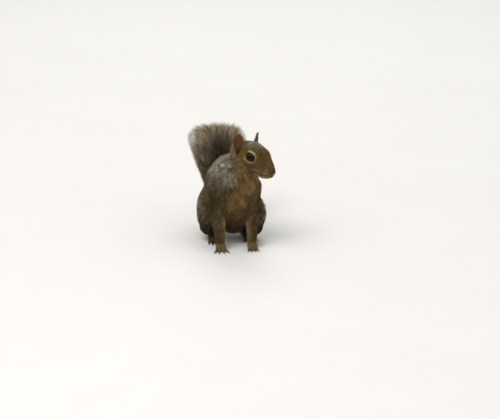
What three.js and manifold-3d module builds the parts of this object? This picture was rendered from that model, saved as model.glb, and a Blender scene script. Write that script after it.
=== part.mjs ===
// A grey squirrel, life size, standing alert on all four feet: forelegs straight, haunches folded,
// head up and turned to its left, tail raised over the rump with the tip curling back.
// Millimetres, +Z up, the animal faces -Y and its left side is +X. Each solid reaches out to the tips
// of the coat. Neighbours are parted by a thin gap, and the soles are flats on the plane z = 0.
import * as THREE from "three";
import { mergeVertices } from "three/addons/utils/BufferGeometryUtils.js";
import Module from "manifold-3d";

const wasm = await Module();
wasm.setup();

// ---- Driving sizes ----
const GAP = 0.35; // between neighbouring solids
const LEFT = 1; // sign of X on the animal's left side
const RIGHT = -1;
const SIDES = { left: LEFT, right: RIGHT };

const HEAD = {
  length: 71, // nose tip to nape
  height: 37, // crown to chin
  width: 36, // over the cheeks
  eyes: [26, -56, 122.5], // midpoint between the eyes
  turn: 29, // degrees to its left
  nod: 8, // degrees down
  tilt: 7, // degrees, left ear down
};
const EYE = {
  radius: 6.2,
  apart: 24,
  forward: 18, // degrees that it looks ahead
  lid: 0.95,
  lidReach: 3.2,
};
const EAR = { height: 27, width: 15.5, thick: 1.7, outward: 50 }; // outward: degrees from straight ahead
const TRUNK = { width: 59 }; // across the loin
const TAIL = { width: 71, depth: 34 }; // over the hair at its fullest
const FOREPAW = { apart: 40, y: -49 };
const CLAW = { length: 4.6, root: 0.8, tip: 0.3 };

const FLESH = { roughness: 0.95, metalness: 0 };
const MATERIALS = {
  grey: new THREE.MeshStandardMaterial({ color: 0x77705e, ...FLESH }),
  face: new THREE.MeshStandardMaterial({ color: 0x7d6b45, ...FLESH }),
  tail: new THREE.MeshStandardMaterial({ color: 0x7a7062, ...FLESH }),
  ear: new THREE.MeshStandardMaterial({ color: 0x7a4e28, ...FLESH }),
  paw: new THREE.MeshStandardMaterial({ color: 0x857450, ...FLESH }),
  eye: new THREE.MeshStandardMaterial({ color: 0x0d0a09, roughness: 0.06, metalness: 0 }),
  nose: new THREE.MeshStandardMaterial({ color: 0x2e2320, roughness: 0.5, metalness: 0 }),
  claw: new THREE.MeshStandardMaterial({ color: 0x2b2420, roughness: 0.4, metalness: 0 }),
};

// ---- Solids ----
const vec = (x, y, z) => new THREE.Vector3(x, y, z);
const X_AXIS = vec(1, 0, 0);
const rad = THREE.MathUtils.degToRad;

// A closed three.js geometry as a manifold-3d solid.
function solidOf(geometry) {
  const bare = geometry.index ? geometry.toNonIndexed() : geometry.clone();
  for (const name of Object.keys(bare.attributes)) {
    if (name !== "position") bare.deleteAttribute(name);
  }
  const merged = mergeVertices(bare, 1e-4);
  return new wasm.Manifold(
    new wasm.Mesh({
      numProp: 3,
      vertProperties: new Float32Array(merged.attributes.position.array),
      triVerts: new Uint32Array(merged.index.array),
    }),
  );
}

// A manifold-3d solid as a three.js geometry, with flat shading.
function geometryOf(solid) {
  const mesh = solid.getMesh();
  const points = new Float32Array(mesh.numVert * 3);
  for (let i = 0; i < mesh.numVert; i++) {
    points.set(mesh.vertProperties.subarray(i * mesh.numProp, i * mesh.numProp + 3), i * 3);
  }
  const geometry = new THREE.BufferGeometry();
  geometry.setAttribute("position", new THREE.BufferAttribute(points, 3));
  geometry.setIndex(new THREE.BufferAttribute(new Uint32Array(mesh.triVerts), 1));
  const flat = geometry.toNonIndexed();
  flat.computeVertexNormals();
  return flat;
}

// The largest piece that a cut leaves, without its crumbs.
function largest(solid) {
  return solid.decompose().reduce((best, piece) => (piece.volume() > best.volume() ? piece : best));
}

// A closed solid through rings of equally many points, with a fan over each end.
function loft(rings) {
  const sides = rings[0].length;
  const points = rings.flat();
  const faces = [];
  for (let r = 0; r + 1 < rings.length; r++) {
    for (let s = 0; s < sides; s++) {
      const a = r * sides + s;
      const b = r * sides + ((s + 1) % sides);
      faces.push(a, b, a + sides, b, b + sides, a + sides);
    }
  }
  for (const [ring, flip] of [[0, true], [rings.length - 1, false]]) {
    const centre = rings[ring].reduce((sum, p) => sum.add(p), vec(0, 0, 0)).divideScalar(sides);
    const hub = points.push(centre) - 1;
    for (let s = 0; s < sides; s++) {
      const a = ring * sides + s;
      const b = ring * sides + ((s + 1) % sides);
      faces.push(hub, flip ? b : a, flip ? a : b);
    }
  }
  const geometry = new THREE.BufferGeometry().setFromPoints(points);
  geometry.setIndex(faces);
  return solidOf(geometry);
}

// Catmull-Rom through numbers at whole steps, read at a place between 0 and 1.
function between(values, t) {
  const place = t * (values.length - 1);
  const i = Math.min(Math.floor(place), values.length - 2);
  const f = place - i;
  const at = (k) => values[THREE.MathUtils.clamp(k, 0, values.length - 1)];
  const [a, b, c, d] = [at(i - 1), at(i), at(i + 1), at(i + 2)];
  const smooth = b + 0.5 * f * (c - a + f * (2 * a - 5 * b + 4 * c - d + f * (3 * (b - c) + d - a)));
  return Math.max(smooth, 0.6 * Math.min(b, c));
}

// A body of changing section along a smooth path. A station is {at, wide, high, low}: half the width
// along `across`, and the reach above and below the path. `grow` moves the whole surface outward.
// `square` is the section's superellipse power, 2 for an ellipse. Both ends of the path are domes, and
// a length taken out of it, from one share of it to another, is flat where it is cut.
function sweep(stations, options) {
  const { steps, sides, across = X_AXIS, dome = 0.8, domeRings = 3, square = 2, grow = 0 } = options;
  const { from = 0, to = 1 } = options;
  const path = new THREE.CatmullRomCurve3(stations.map((s) => vec(...s.at)), false, "centripetal");
  const values = (key) => stations.map((s) => s[key] ?? s.high);
  const reach = { wide: values("wide"), high: values("high"), low: values("low") };
  const rings = [];
  const ring = (t, scale, slide) => {
    const along = path.getTangent(t);
    const side = across.clone().addScaledVector(along, -across.dot(along)).normalize();
    const up = vec(0, 0, 0).crossVectors(along, side);
    const centre = path.getPoint(t).addScaledVector(along, slide);
    const [wide, high, low] = ["wide", "high", "low"].map((k) => (between(reach[k], t) + grow) * scale);
    rings.push(
      Array.from({ length: sides }, (_, i) => {
        const angle = ((i + 0.5) / sides) * 2 * Math.PI;
        const c = Math.cos(angle);
        const s = Math.sin(angle);
        const x = Math.sign(c) * Math.abs(c) ** (2 / square) * wide;
        const z = Math.sign(s) * Math.abs(s) ** (2 / square) * (s > 0 ? high : low);
        return centre.clone().addScaledVector(side, x).addScaledVector(up, z);
      }),
    );
  };
  const domeAngles = Array.from({ length: domeRings }, (_, i) => rad(90 * (1 - (i + 0.6) / domeRings)));
  const domeLength = (t) => Math.min(between(reach.wide, t), between(reach.high, t)) * dome + grow;
  if (from === 0) domeAngles.forEach((a) => ring(0, Math.cos(a), -Math.sin(a) * domeLength(0)));
  for (let i = 0; i <= steps; i++) ring(THREE.MathUtils.lerp(from, to, i / steps), 1, 0);
  if (to === 1) domeAngles.toReversed().forEach((a) => ring(1, Math.cos(a), Math.sin(a) * domeLength(1)));
  return loft(rings);
}

function ellipsoid(centre, radii, detail = 14) {
  const geometry = new THREE.SphereGeometry(1, detail, Math.round(detail * 0.75));
  geometry.scale(...radii);
  geometry.translate(...centre);
  return solidOf(geometry);
}

function box(low, high) {
  const size = high.map((h, i) => h - low[i]);
  const geometry = new THREE.BoxGeometry(...size);
  geometry.translate(...low.map((l, i) => l + size[i] / 2));
  return solidOf(geometry);
}

// ---- Head, in its own frame: -Y forward, +Z up, the midpoint between the eyes at the origin ----
// Each station is a share of the head's length behind the nose tip, with the heights of the top, the
// widest line and the bottom as shares of the head's height above the eyes, and half the width as a
// share of the head's width.
const HEAD_STATIONS = [
  { back: 0.0, top: -0.14, mid: -0.22, bottom: -0.31, half: 0.12 },
  { back: 0.04, top: -0.05, mid: -0.27, bottom: -0.47, half: 0.215 },
  { back: 0.1, top: 0.035, mid: -0.3, bottom: -0.57, half: 0.265 },
  { back: 0.18, top: 0.13, mid: -0.31, bottom: -0.62, half: 0.305 },
  { back: 0.27, top: 0.245, mid: -0.3, bottom: -0.63, half: 0.34 },
  { back: 0.36, top: 0.325, mid: -0.25, bottom: -0.63, half: 0.39 },
  { back: 0.46, top: 0.375, mid: -0.2, bottom: -0.62, half: 0.45 },
  { back: 0.57, top: 0.395, mid: -0.19, bottom: -0.6, half: 0.495 },
  { back: 0.68, top: 0.385, mid: -0.16, bottom: -0.56, half: 0.51 },
  { back: 0.79, top: 0.335, mid: -0.12, bottom: -0.5, half: 0.48 },
  { back: 0.89, top: 0.245, mid: -0.09, bottom: -0.42, half: 0.42 },
  { back: 1.0, top: 0.08, mid: -0.08, bottom: -0.28, half: 0.28 },
];
const NOSE_TIP = -30.4; // Y of the nose tip
const headY = (back) => NOSE_TIP + back * HEAD.length;

function headLoft(grow = 0) {
  const stations = HEAD_STATIONS.map(({ back, top, mid, bottom, half }) => ({
    at: [0, headY(back), mid * HEAD.height],
    wide: half * HEAD.width,
    high: (top - mid) * HEAD.height,
    low: (mid - bottom) * HEAD.height,
  }));
  const across = vec(-1, 0, 0);
  return sweep(stations, { steps: 12, sides: 15, across, dome: 0.5, domeRings: 2, square: 2.15, grow });
}

const whiskerPads = () =>
  [LEFT, RIGHT].map((side) => ellipsoid([side * 4.6, headY(0.13), -11.3], [4.8, 7, 4.8], 7));

const eyeball = (side, grow = 0) =>
  ellipsoid([(side * EYE.apart) / 2, 0, 0], Array(3).fill(EYE.radius + grow), 11);

// The lid is a ring that hugs the eye round the line of its gaze, a little longer than it is tall.
function eyelid(side, grow = 0) {
  const hug = Math.sqrt(EYE.radius ** 2 - EYE.lidReach ** 2);
  const ring = new THREE.TorusGeometry(hug + 0.3, EYE.lid + grow, 4, 11);
  ring.scale(1.1, 0.96, 1);
  ring.translate(0, 0, EYE.lidReach);
  ring.rotateY((side * Math.PI) / 2);
  ring.rotateZ(side * -rad(EYE.forward));
  ring.translate((side * EYE.apart) / 2, 0, 0);
  return solidOf(ring);
}

// The cup of the ear: arcs stacked along its height, open towards `outward`.
const EAR_ROOT = { back: 0.73, out: 13.2, up: -6.5 };
const EAR_WIDEST = 0.5; // share of its height
function earShell(side) {
  const levels = 7;
  const arcPoints = 6;
  const outward = rad(EAR.outward);
  const open = vec(side * Math.sin(outward), -Math.cos(outward), 0);
  const along = vec(side * Math.cos(outward), Math.sin(outward), 0);
  const rings = [];
  for (let i = 0; i <= levels; i++) {
    const v = 1 - (1 - i / levels) ** 1.4; // closer together towards the round top
    const off = (v - EAR_WIDEST) / (v < EAR_WIDEST ? EAR_WIDEST : 1.03 - EAR_WIDEST);
    const breadth = (EAR.width / 2) * (v < EAR_WIDEST ? 1 - 0.32 * off ** 2 : Math.sqrt(1 - off ** 2));
    const curl = THREE.MathUtils.lerp(rad(205), rad(96), v ** 0.6);
    const radius = breadth / Math.sin(Math.min(curl / 2, Math.PI / 2));
    const thick = THREE.MathUtils.lerp(EAR.thick, 0.9, v);
    const lean = vec(side * 3.2 * v, 1.5 * v + 1.2 * v * v, 0);
    const centre = vec(side * EAR_ROOT.out, headY(EAR_ROOT.back), EAR_ROOT.up + EAR.height * v);
    centre.add(lean).addScaledVector(open, radius * 0.62);
    const arc = (r) =>
      Array.from({ length: arcPoints }, (_, k) => {
        const angle = (k / (arcPoints - 1) - 0.5) * curl;
        return centre
          .clone()
          .addScaledVector(open, -Math.cos(angle) * r)
          .addScaledVector(along, Math.sin(angle) * r);
      });
    const outer = arc(radius);
    const inner = arc(Math.max(radius - thick, 0.2)).reverse();
    const ring = [...outer, ...inner];
    rings.push(side === LEFT ? ring.reverse() : ring);
  }
  return loft(rings);
}

// The nose pad with its two nostrils.
function nosePad(grow = 0) {
  const pad = ellipsoid([0, NOSE_TIP + 0.4, -7.6], [3.7 + grow, 2.9 + grow, 3.1 + grow], 8);
  if (grow) return pad;
  const nostrils = [LEFT, RIGHT].map((side) =>
    ellipsoid([side * 2.1, NOSE_TIP - 1.9, -7.9], [0.8, 1.2, 1.1], 6),
  );
  return nostrils.reduce((made, nostril) => made.subtract(nostril), pad);
}

// The lower jaw: everything under the mouth line, as far back as the corner of the mouth.
const MOUTH = { height: -14.4, back: 0.32, slope: 6 }; // slope: degrees that the line falls backward
function jawBlock(grow) {
  const block = box([-30, NOSE_TIP - 20, -40 - grow], [30, headY(MOUTH.back) + grow, grow]);
  return block.rotate([-MOUTH.slope, 0, 0]).translate([0, 0, MOUTH.height]);
}

const headPlace = new THREE.Matrix4()
  .makeRotationFromEuler(new THREE.Euler(rad(HEAD.nod), rad(HEAD.tilt), rad(HEAD.turn), "ZXY"))
  .setPosition(...HEAD.eyes);
const onBody = (solid) => solid.transform(headPlace.elements);

// ---- Trunk and neck: one form along the spine, from the rump to the nape ----
const SPINE = [
  { at: [0, 50, 46], wide: 0.24, high: 15, low: 16 },
  { at: [0, 38, 49], wide: 0.42, high: 29, low: 32 },
  { at: [0, 18, 56], wide: 0.5, high: 41, low: 44 },
  { at: [1, -2, 64], wide: 0.5, high: 44, low: 56 },
  { at: [2, -19, 75], wide: 0.48, high: 43, low: 44 },
  { at: [3.5, -32, 88], wide: 0.47, high: 38.5, low: 33 },
  { at: [5.5, -39, 101], wide: 0.4, high: 31, low: 26 },
  { at: [11.5, -41, 112], wide: 0.27, high: 26, low: 18 },
].map((s) => ({ ...s, wide: s.wide * TRUNK.width }));
const NECK_CUT = { point: vec(5, -35, 96), normal: vec(0.12, -0.5, 0.86).normalize() };

const spineForm = () => sweep(SPINE, { steps: 11, sides: 18, dome: 0.7, domeRings: 2, square: 2.05 });

// Everything on one side of a plane, less half the gap.
function beyond(point, normal) {
  const reach = 400;
  const turn = new THREE.Matrix4().makeRotationFromQuaternion(
    new THREE.Quaternion().setFromUnitVectors(vec(0, 0, 1), normal),
  );
  turn.setPosition(point);
  return box([-reach, -reach, GAP / 2], [reach, reach, reach]).transform(turn.elements);
}

// ---- Tail: narrow at the root, a flat plume over the rump, the tip curling back and down ----
// `high` is the reach on the side within the curl, and `low` on the side of the rump and the top.
const TAIL_STATIONS = [
  { at: [0, 46, 44], wide: 0.15, high: 0.28, low: 0.26 },
  { at: [1, 60, 50], wide: 0.2, high: 0.34, low: 0.26 },
  { at: [1, 67, 63], wide: 0.32, high: 0.36, low: 0.3 },
  { at: [0, 66, 78], wide: 0.375, high: 0.34, low: 0.36 },
  { at: [-1, 64, 92], wide: 0.44, high: 0.32, low: 0.44 },
  { at: [-1, 67, 104], wide: 0.5, high: 0.32, low: 0.5 },
  { at: [-1, 78, 111.5], wide: 0.5, high: 0.3, low: 0.51 },
  { at: [-1, 92, 107.5], wide: 0.48, high: 0.3, low: 0.5 },
  { at: [0, 101, 94], wide: 0.42, high: 0.32, low: 0.46 },
  { at: [0, 105, 78], wide: 0.3, high: 0.3, low: 0.36 },
  { at: [0, 107, 62], wide: 0.13, high: 0.18, low: 0.18 },
].map(({ at, wide, high, low }) => ({
  at,
  wide: wide * TAIL.width,
  high: high * TAIL.depth,
  low: low * TAIL.depth,
}));
const TAIL_LENGTHS = { root: [0, 0.3], middle: [0.3, 0.5], bend: [0.5, 0.72], tip: [0.72, 1] }; // shares
const TAIL_GAP = 0.002; // share of the path left open at each side of a cut

const tailForm = (options) =>
  sweep(TAIL_STATIONS, { sides: 14, dome: 0.9, domeRings: 2, square: 2.2, ...options });
function tailLength([start, end]) {
  const from = start === 0 ? 0 : start + TAIL_GAP;
  const to = end === 1 ? 1 : end - TAIL_GAP;
  return tailForm({ from, to, steps: Math.round((to - from) * 20) });
}

// ---- Limbs: joints as [x outward, y, z], with the girth over the fur at each ----
const FORELEG = {
  shoulder: { at: [21, -34, 80], wide: 12, high: 17 },
  upperArm: { at: [22, -35, 62], wide: 11.5, high: 15 },
  elbow: { at: [21, -34, 46], wide: 9.5, high: 11 },
  forearm: { at: [21, -42, 29], wide: 7.8, high: 8.5 },
  wrist: { at: [20.3, -46, 14], wide: 6.2, high: 6.2 },
};
// The left knee is a little lower and further out than the right one.
const HIND_LEGS = {
  left: {
    hip: { at: [20, 21, 42], wide: 12, high: 24 },
    thigh: { at: [29.5, 3, 36], wide: 14, high: 24 },
    knee: { at: [33, -15, 30], wide: 10.5, high: 18 },
    shin: { at: [32, -12, 18], wide: 9, high: 11.5 },
    ankle: { at: [24.5, 24, 10.5], wide: 5.6, high: 6.4 },
    heel: { at: [22, 31, 0], turn: 2 },
  },
  right: {
    hip: { at: [20, 23, 45], wide: 12, high: 24 },
    thigh: { at: [26.5, 6, 41], wide: 13.3, high: 25 },
    knee: { at: [31, -12, 35], wide: 10.5, high: 19 },
    shin: { at: [30, -8, 21], wide: 8.8, high: 11.5 },
    ankle: { at: [23, 25, 10.5], wide: 5.6, high: 6.4 },
    heel: { at: [20, 32, 0], turn: 2 },
  },
};
const FOREPAWS = { left: { turn: -4, spread: 0.75 }, right: { turn: 5, spread: 1 } };

const mirrored = (station, side) => {
  const [x, y, z] = station.at;
  return { ...station, at: [x * side, y, z] };
};
const limb = (stations, side, steps, sides, grow = 0) =>
  sweep(stations.map((s) => mirrored(s, side)), { steps, sides, domeRings: 2, grow });

// A toe from its knuckle to its tip, and the claw that grows from the tip. In the foot's own frame:
// -Y forward, z = 0 the floor.
function toe({ x, y, z, length, girth, fan }) {
  const reach = [Math.sin(rad(fan)) * length, -Math.cos(rad(fan)) * length];
  const ahead = (share) => [x + reach[0] * share, y + reach[1] * share];
  const digit = (grow) =>
    sweep(
      [
        { at: [...ahead(-0.25), z], wide: girth, high: girth },
        { at: [...ahead(0.35), z + 0.4], wide: girth * 0.95, high: girth * 0.95 },
        { at: [...ahead(0.8), girth * 0.75], wide: girth * 0.95, high: girth },
      ],
      { steps: 1, sides: 5, dome: 0.9, domeRings: 1, grow },
    );
  const nail = (share, height, radius) => ({
    at: [...ahead(1 + (share * CLAW.length) / length), height],
    wide: radius * 0.8,
    high: radius,
  });
  const claw = sweep(
    [nail(-0.25, girth * 1.2, CLAW.root), nail(0.45, girth * 1.2, CLAW.root * 0.8), nail(1, 0.7, CLAW.tip)],
    { steps: 1, sides: 4, dome: 0.5, domeRings: 1 },
  );
  return { flesh: digit(0), claw: claw.subtract(digit(GAP)) };
}

const FORE_TOES = [
  { x: -5.4, fan: -22, length: 7.8 },
  { x: -2, fan: -7, length: 9.8 },
  { x: 2, fan: 7, length: 9.8 },
  { x: 5.4, fan: 22, length: 7.8 },
].map((t) => ({ ...t, y: -4, z: 2.7, girth: 1.8 }));
const HIND_TOES = [
  { x: -5.8, fan: -14, length: 10, back: 2 },
  { x: -3.1, fan: -6, length: 14, back: 0.5 },
  { x: 0, fan: 0, length: 15, back: 0 },
  { x: 3.1, fan: 6, length: 14, back: 0.5 },
  { x: 5.8, fan: 14, length: 9, back: 2 },
].map((t) => ({ ...t, y: -45 + t.back, z: 2.5, girth: 1.8 }));

const FOREFOOT_PALM = [
  { at: [0, 6, 12], wide: 5.6, high: 5.4 },
  { at: [0, 3.5, 6], wide: 6.2, high: 5.4 },
  { at: [0, -4, 3.3], wide: 7, high: 4.5 },
];
const HINDFOOT_SOLE = [
  { at: [0, 0, 4.6], wide: 4.4, high: 5.5 },
  { at: [0, -18, 4.5], wide: 5, high: 5.5 },
  { at: [0, -34, 4], wide: 6, high: 5 },
  { at: [0, -44, 3.2], wide: 6.8, high: 4.2 },
];

// A foot on the floor plane: a palm or sole with its toes joined on, and the claws apart.
function foot(sole, toes, { at, turn }) {
  const floor = box([-200, -200, 0], [200, 200, 200]);
  const grown = toes.map(toe);
  const pad = sweep(sole, { steps: 3, sides: 8, domeRings: 2 });
  const flesh = grown.reduce((made, t) => made.add(t.flesh), pad);
  const place = (solid) => solid.rotate([0, 0, turn]).translate(at);
  return { flesh: largest(place(flesh).intersect(floor)), claws: grown.map((t) => largest(place(t.claw))) };
}

// ---- The whole animal ----
const solids = new Map(); // name: {solid, material, group}
function put(name, solid, material, group = "body") {
  solids.set(name, { solid: largest(solid), material, group });
}

// Head
const sockets = [LEFT, RIGHT].map((side) => eyeball(side, GAP));
function skullForm(grow = 0) {
  const added = [...whiskerPads(), eyelid(LEFT, grow), eyelid(RIGHT, grow)];
  return added.reduce((made, solid) => made.add(solid), headLoft(grow));
}
const skull = skullForm();
const face = [...sockets, nosePad(GAP)].reduce((made, s) => made.subtract(s), skull);
put("head", onBody(face.subtract(jawBlock(GAP / 2))), "face", "head");
put("jaw", onBody(face.intersect(jawBlock(-GAP / 2))), "face", "head");
put("nose", onBody(nosePad()), "nose", "head");
for (const [name, side] of Object.entries(SIDES)) {
  put(`eye_${name}`, onBody(eyeball(side)), "eye", "head");
  put(`ear_${name}`, onBody(earShell(side).subtract(headLoft(GAP))), "ear", "head");
}
const headBlock = onBody(skullForm(GAP));

// Limbs: the forelegs stay whole, the haunches are cut by them, and each lower length by the upper
const limbBlocks = [];
for (const [name, side] of Object.entries(SIDES)) {
  const { shoulder, upperArm, elbow, forearm, wrist } = FORELEG;
  const upperForm = (grow) => limb([shoulder, upperArm, elbow], side, 3, 10, grow);
  const lowerForm = (grow) => limb([elbow, forearm, wrist], side, 3, 8, grow);
  const { turn, spread } = FOREPAWS[name];
  const paw = foot(
    FOREFOOT_PALM,
    FORE_TOES.map((t) => ({ ...t, x: t.x * spread, fan: t.fan * spread })),
    { at: [(side * FOREPAW.apart) / 2, FOREPAW.y, 0], turn: side * turn },
  );
  put(`upper_arm_${name}`, upperForm(0), "grey");
  put(`forearm_${name}`, lowerForm(0).subtract(upperForm(GAP)), "grey");
  put(`forefoot_${name}`, paw.flesh.subtract(lowerForm(GAP)), "paw");
  paw.claws.forEach((claw, i) => put(`fore_claw_${name}_${i + 1}`, claw, "claw"));

  const { hip, thigh, knee, shin, ankle, heel } = HIND_LEGS[name];
  const thighForm = (grow) => limb([hip, thigh, knee], side, 4, 12, grow);
  const shankForm = (grow) => limb([shin, ankle], side, 2, 10, grow);
  const arm = upperForm(GAP).add(lowerForm(GAP));
  const sole = foot(HINDFOOT_SOLE, HIND_TOES, { at: mirrored(heel, side).at, turn: side * heel.turn });
  put(`thigh_${name}`, thighForm(0).subtract(arm), "grey");
  put(`shank_${name}`, shankForm(0).subtract(thighForm(GAP)).subtract(arm), "grey");
  put(`hindfoot_${name}`, sole.flesh.subtract(thighForm(GAP)).subtract(shankForm(GAP)), "paw");
  sole.claws.forEach((claw, i) => put(`hind_claw_${name}_${i + 1}`, claw, "claw"));
  limbBlocks.push(arm, thighForm(GAP), shankForm(GAP));
}

// Trunk, neck and tail
const torso = limbBlocks.reduce((made, block) => made.subtract(block), spineForm());
const neck = torso.intersect(beyond(NECK_CUT.point, NECK_CUT.normal)).subtract(headBlock);
put("neck", neck, "grey");
const trunk = torso.intersect(beyond(NECK_CUT.point, NECK_CUT.normal.clone().negate()));
put("trunk", trunk.subtract(headBlock).subtract(tailForm({ steps: 20, grow: GAP })), "grey");
for (const [name, shares] of Object.entries(TAIL_LENGTHS)) put(`tail_${name}`, tailLength(shares), "tail");

// ---- Scene graph, with the origin under the middle of the animal, on the floor ----
const squirrel = new THREE.Group();
const body = new THREE.Group();
const head = new THREE.Group();
headPlace.decompose(head.position, head.quaternion, head.scale);
body.add(head);
squirrel.add(body);
squirrel.updateMatrixWorld(true);
const groups = { body, head };
for (const [name, { solid, material, group }] of solids) {
  const geometry = geometryOf(solid).applyMatrix4(groups[group].matrixWorld.clone().invert());
  const mesh = new THREE.Mesh(geometry, MATERIALS[material]);
  mesh.name = name;
  groups[group].add(mesh);
}
const bounds = new THREE.Box3().setFromObject(squirrel, true);
const middle = bounds.getCenter(vec(0, 0, 0));
body.position.set(-middle.x, -middle.y, -bounds.min.z);

export default squirrel;
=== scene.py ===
"""A life-size grey squirrel, standing alert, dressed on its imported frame: one skin, a coat of mesh
tufts, eyes, nose, claws and whiskers. Metres, in the frame's own axes: the animal faces -Y, its left
side is +X and +Z is up. The frame's nodes give the places of its features."""

import itertools
import math
from collections import namedtuple

import bmesh
import bpy
import numpy as np
from mathutils import Matrix, Vector
from mathutils.bvhtree import BVHTree
from mathutils.kdtree import KDTree


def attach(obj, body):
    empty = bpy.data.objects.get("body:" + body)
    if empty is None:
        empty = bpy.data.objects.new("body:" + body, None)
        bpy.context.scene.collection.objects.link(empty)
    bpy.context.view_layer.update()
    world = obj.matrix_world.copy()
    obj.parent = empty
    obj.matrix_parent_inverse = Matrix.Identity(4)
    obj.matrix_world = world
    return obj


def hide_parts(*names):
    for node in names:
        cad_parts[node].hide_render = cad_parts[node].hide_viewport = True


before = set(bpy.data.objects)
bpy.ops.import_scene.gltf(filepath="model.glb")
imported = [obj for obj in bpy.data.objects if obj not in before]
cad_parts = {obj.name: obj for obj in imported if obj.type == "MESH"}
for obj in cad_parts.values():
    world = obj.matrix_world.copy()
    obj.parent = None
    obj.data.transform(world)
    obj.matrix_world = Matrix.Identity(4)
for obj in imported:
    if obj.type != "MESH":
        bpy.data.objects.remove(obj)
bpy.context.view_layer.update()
rng = np.random.default_rng(20)

MM = 0.001
SIDES = {"left": 1, "right": -1}

# ---- Sizes ----
VOXEL = 0.8 * MM  # of the skin's remesh
PATCH = 0.003  # across a tuft in its unwrap
TUFTS_TO_A_LOCK = 9  # that lean together
TUFTS_TO_A_STREAK = 40  # that part the coat together
GUARD_HAIRS = 0.12  # the share of the tufts that are longer and thinner
TAIL_CORE = {"start": 6.0 * MM, "end": 2.2 * MM, "reach": 0.86}  # radii, and its share of the tail's length
TAIL_POINTS = 240  # along its centreline
TAIL_LOCKS = 24000
TAIL_FRINGE_SHARE = 0.36  # the share of its locks that stand out to either side
TAIL_SQUARENESS = 2.6  # of the outline across its hair, where 2 is an ellipse
CORNEA = 0.05  # the share of the eye's radius that it stands out
NOSE_PAD = np.array([3.3, 2.5, 2.8]) * MM  # half its breadth, depth and height
NOSE_MARGIN = np.array([0.1, 0.5, 0.1]) * MM  # of skin without tufts round it
CLAW_RADII = ([0, 0.3, 1], np.array([0.66, 0.68, 0.1]) * MM)  # at these shares of a claw's length
CLAW_ARCH = 0.95 * MM
WHISKER_LENGTH = (15 * MM, 22 * MM)
WHISKER_RADII = (0.11 * MM, 0.02 * MM)

# Each kind of node has its coat: how far the node swells to close the gaps to its neighbours, in
# millimetres, how many rounds smooth the skin there, how the fur lies, and the size of its tufts.
# A size is a tuft's length, width and depth over the skin in millimetres, and how many tufts grow on
# a square millimetre.
Fur = namedtuple("Fur", "swell rounds lie size")
DOWN_BACK = (0, 0.65, -0.75)
FORELEG_FUR = (8.5, 0.62, 3.0, 1.9)
HIND_LEG_FUR = (10.0, 0.74, 3.8, 1.75)
COAT = {
    "head": Fur(0.3, 24, (0, 1, 0), (4.2, 0.5, 1.5, 3.6)),
    "jaw": Fur(0.3, 16, (0, 1, -0.1), (3.0, 0.4, 1.0, 4.4)),
    "ear": Fur(0.2, 3, (0, 0.1, 1), (1.9, 0.3, 0.3, 5.0)),
    "neck": Fur(0.45, 300, DOWN_BACK, (9.5, 0.64, 4.0, 2.5)),
    "trunk": Fur(0.45, 300, DOWN_BACK, (11.0, 0.74, 4.4, 1.9)),
    "upper_arm": Fur(0.45, 420, (0, 0.15, -1), FORELEG_FUR),
    "forearm": Fur(0.45, 90, (0, -0.05, -1), FORELEG_FUR),
    "forefoot": Fur(0.2, 2, (0, -0.9, -0.3), FORELEG_FUR),
    "thigh": Fur(0.45, 260, (0, 0.45, -0.9), HIND_LEG_FUR),
    "shank": Fur(0.45, 90, (0, 0.8, -0.45), HIND_LEG_FUR),
    "hindfoot": Fur(0.2, 2, (0, -1, -0.1), HIND_LEG_FUR),
    "tail": Fur(0.0, 10, (0, 0.7, 0.7), (9.0, 0.8, 0.0, 0.0)),
}
KINDS = list(COAT)
HEAD = ("head", "jaw", "ear")
BODY = ("trunk", "neck")
FORELEG = ("upper_arm", "forearm", "forefoot")
HIND_LEG = ("thigh", "shank", "hindfoot")
MUZZLE = (1.7, 0.3, 0.5, 6.5)  # the tufts' size at the front of the head,
NAPE = (7.3, 0.66, 2.9, 2.2)  # at its back,
TOES = (1.3, 0.3, 0.25, 3.8)  # and at the bottom of each leg
LEG_TOPS = {FORELEG: 66 * MM, HIND_LEG: 42 * MM}  # where the legs' tufts reach their full size
TOE_SLIM = 0.35  # millimetres off each toe's radius, so that the toes stay apart


# ---- Small helpers ----
def norm(v):
    return np.linalg.norm(v, axis=-1)


def unit(v):
    return v / np.maximum(norm(v)[..., None], 1e-12)


def ease(x, low, high):
    """0 below low, 1 above high, smooth between."""
    t = np.clip((x - low) / (high - low), 0, 1)
    return t * t * (3 - 2 * t)


def bump(x, width):
    """1 at 0, falling off to either side."""
    return np.exp(-((x / width) ** 2))


def arc(start, knee, end, share):
    """A curve from start to end, bent towards the knee."""
    return start * (1 - share) ** 2 + 2 * knee * share * (1 - share) + end * share**2


def get(items, name, width, dtype=np.float32):
    data = np.empty(len(items) * width, dtype)
    items.foreach_get(name, data)
    return data.reshape(-1, width)


def places(mesh):
    return get(mesh.vertices, "co", 3).astype(float)


def put(items, name, values, dtype=np.float32):
    items.foreach_set(name, np.asarray(values, dtype).ravel())


def set_weight(mesh, name, values):
    put(mesh.attributes.new(name, "FLOAT", "POINT").data, "value", values)


def mesh_of(bm, name):
    """A new mesh from a bmesh, which is freed."""
    mesh = bpy.data.meshes.new(name)
    bm.to_mesh(mesh)
    bm.free()
    return mesh


def add_object(name, data):
    made = bpy.data.objects.new(name, data)
    bpy.context.scene.collection.objects.link(made)
    return made


def kind(node):
    return next(k for k in KINDS if node.startswith(k))


def points(node):
    return places(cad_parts[node].data)


def centre(node):
    co = points(node)
    return (co.min(0) + co.max(0)) / 2


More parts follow.
